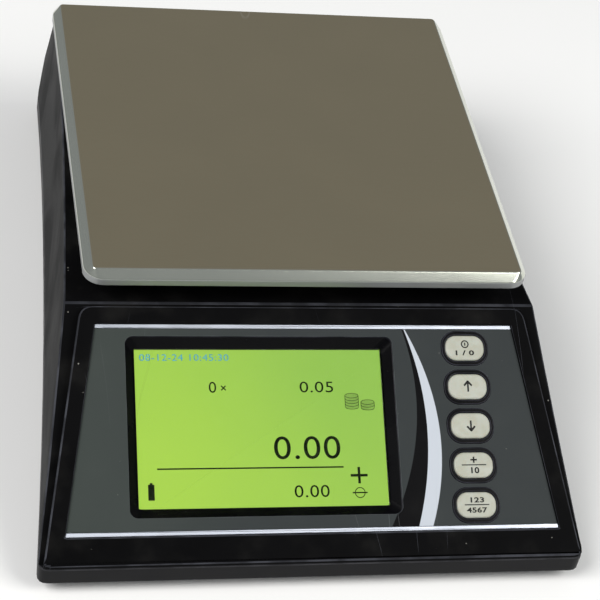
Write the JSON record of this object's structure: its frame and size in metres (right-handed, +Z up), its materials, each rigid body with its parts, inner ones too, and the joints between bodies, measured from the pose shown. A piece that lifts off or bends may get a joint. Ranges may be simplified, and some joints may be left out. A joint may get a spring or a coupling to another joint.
{
  "type": "counting scale",
  "caption": "Bench counting scale: flat steel pan on a load cell over a dark housing whose sloping front holds a lit display and a column of oval keys.",
  "frame": {"origin": "on the floor, under the middle of the base", "axes": "+X to the right of a person facing the display, +Y to the back, +Z up"},
  "size_m": [0.3316, 0.456, 0.132],
  "materials": {
    "housing_plastic": "satin black moulded ABS",
    "cover_plastic": "half-gloss black moulded ABS",
    "overlay_film": "fine matt polycarbonate front sheet",
    "trim_silver": "satin silver strip",
    "bezel_black": "black moulded bezel",
    "window_clear": "clear acrylic",
    "display_panel": "lit liquid-crystal panel in its frame",
    "key_cream": "off-white moulded key",
    "board_green": "solder-masked circuit board",
    "steel_plate": "zinc-plated steel",
    "cast_alu": "die-cast aluminium",
    "cell_alu": "machined aluminium",
    "bolt_steel": "zinc-plated steel",
    "pan_steel": "brushed stainless sheet with a polished edge",
    "rubber_black": "moulded rubber",
    "foot_plastic": "glass-filled nylon",
    "battery_case": "moulded battery case",
    "level_liquid": "tinted liquid in clear acrylic"
  },
  "bodies": {
    "housing": {"base_shell": "housing_plastic", "battery_door": "housing_plastic", "top_cover": "cover_plastic", "front_overlay": "overlay_film", "trim_bar_lower": "trim_silver", "trim_bar_upper": "trim_silver", "display_frame": "bezel_black", "display_window": "window_clear", "display_module": "display_panel", "keypad_frame": "bezel_black", "keypad_board": "board_green", "main_board": "board_green", "battery": "battery_case", "chassis": "steel_plate", "cell_riser": "cast_alu", "load_cell": "cell_alu", "cell_bolt_lower_1": "bolt_steel", "cell_bolt_lower_2": "bolt_steel", "overload_stop": "bolt_steel", "connector_plate": "steel_plate", "power_inlet": "bezel_black", "serial_port": "bolt_steel", "level_ring": "bezel_black", "level_vial": "level_liquid", "case_screw_1": "bolt_steel", "case_screw_2": "bolt_steel", "case_screw_3": "bolt_steel", "case_screw_4": "bolt_steel", "case_screw_5": "bolt_steel", "case_screw_6": "bolt_steel", "battery_door_screw": "bolt_steel"},
    "platform": {"platform_riser": "cast_alu", "platform_frame": "cast_alu", "cell_bolt_upper_1": "bolt_steel", "cell_bolt_upper_2": "bolt_steel", "pan_cushion_1": "rubber_black", "pan_cushion_2": "rubber_black", "pan_cushion_3": "rubber_black", "pan_cushion_4": "rubber_black"},
    "pan": {"weighing_pan": "pan_steel"},
    "key_view": {"key_view": "key_cream"},
    "key_add": {"key_add": "key_cream"},
    "key_down": {"key_down": "key_cream"},
    "key_up": {"key_up": "key_cream"},
    "key_power": {"key_power": "key_cream"},
    "foot_front_left": {"foot_stud_front_left": "foot_plastic", "foot_pad_front_left": "rubber_black"},
    "foot_front_right": {"foot_stud_front_right": "foot_plastic", "foot_pad_front_right": "rubber_black"},
    "foot_rear_left": {"foot_stud_rear_left": "foot_plastic", "foot_pad_rear_left": "rubber_black"},
    "foot_rear_right": {"foot_stud_rear_right": "foot_plastic", "foot_pad_rear_right": "rubber_black"}
  },
  "joints": [
    {"name": "platform_deflection", "type": "slide", "parent": "housing", "child": "platform", "axis": [0, 0, 1], "range_m": [-0.0006, 0], "stiffness_N_per_m": 200000},
    {"name": "pan_lift_off", "type": "slide", "parent": "platform", "child": "pan", "axis": [0, 0, 1], "range_m": [0, 0.04]},
    {"name": "key_view_press", "type": "slide", "parent": "housing", "child": "key_view", "axis": [0, -0.515, 0.8572], "range_m": [-0.0008, 0], "stiffness_N_per_m": 600},
    {"name": "key_add_press", "type": "slide", "parent": "housing", "child": "key_add", "axis": [0, -0.515, 0.8572], "range_m": [-0.0008, 0], "stiffness_N_per_m": 600},
    {"name": "key_down_press", "type": "slide", "parent": "housing", "child": "key_down", "axis": [0, -0.515, 0.8572], "range_m": [-0.0008, 0], "stiffness_N_per_m": 600},
    {"name": "key_up_press", "type": "slide", "parent": "housing", "child": "key_up", "axis": [0, -0.515, 0.8572], "range_m": [-0.0008, 0], "stiffness_N_per_m": 600},
    {"name": "key_power_press", "type": "slide", "parent": "housing", "child": "key_power", "axis": [0, -0.515, 0.8572], "range_m": [-0.0008, 0], "stiffness_N_per_m": 600},
    {"name": "foot_front_left_height", "type": "slide", "parent": "housing", "child": "foot_front_left", "axis": [0, 0, 1], "range_m": [-0.004, 0.0005]},
    {"name": "foot_front_right_height", "type": "slide", "parent": "housing", "child": "foot_front_right", "axis": [0, 0, 1], "range_m": [-0.004, 0.0005]},
    {"name": "foot_rear_left_height", "type": "slide", "parent": "housing", "child": "foot_rear_left", "axis": [0, 0, 1], "range_m": [-0.004, 0.0005]},
    {"name": "foot_rear_right_height", "type": "slide", "parent": "housing", "child": "foot_rear_right", "axis": [0, 0, 1], "range_m": [-0.004, 0.0005]}
  ]
}
